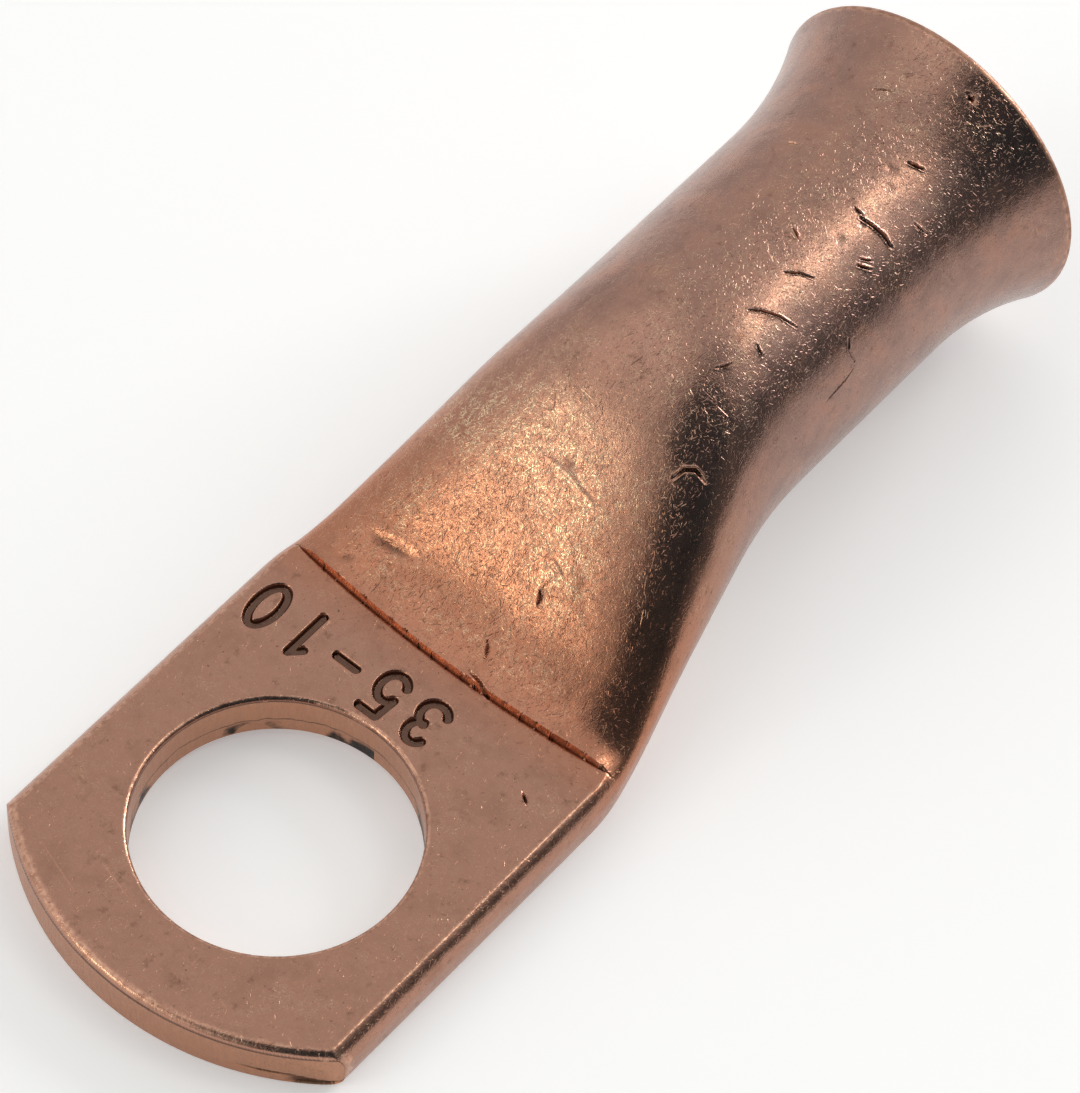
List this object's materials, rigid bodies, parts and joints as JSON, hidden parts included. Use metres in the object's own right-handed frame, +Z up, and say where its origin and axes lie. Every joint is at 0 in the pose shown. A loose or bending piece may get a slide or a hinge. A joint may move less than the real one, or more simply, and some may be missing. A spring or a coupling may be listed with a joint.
{
  "type": "cable lug",
  "caption": "Flared tubular copper cable lug with a flat palm, punched stud hole, rounded tip and open barrel for a crimped or soldered cable.",
  "frame": {"origin": "centre of the stud hole on the underside of the palm", "axes": "+X along the lug towards the cable mouth, +Z up out of the palm, symmetric across Y = 0"},
  "size_m": [0.0447, 0.0156, 0.0133],
  "materials": {
    "copper": "bare copper, tumbled and lightly tarnished"
  },
  "bodies": {
    "root": {"lug": "copper"}
  },
  "joints": []
}
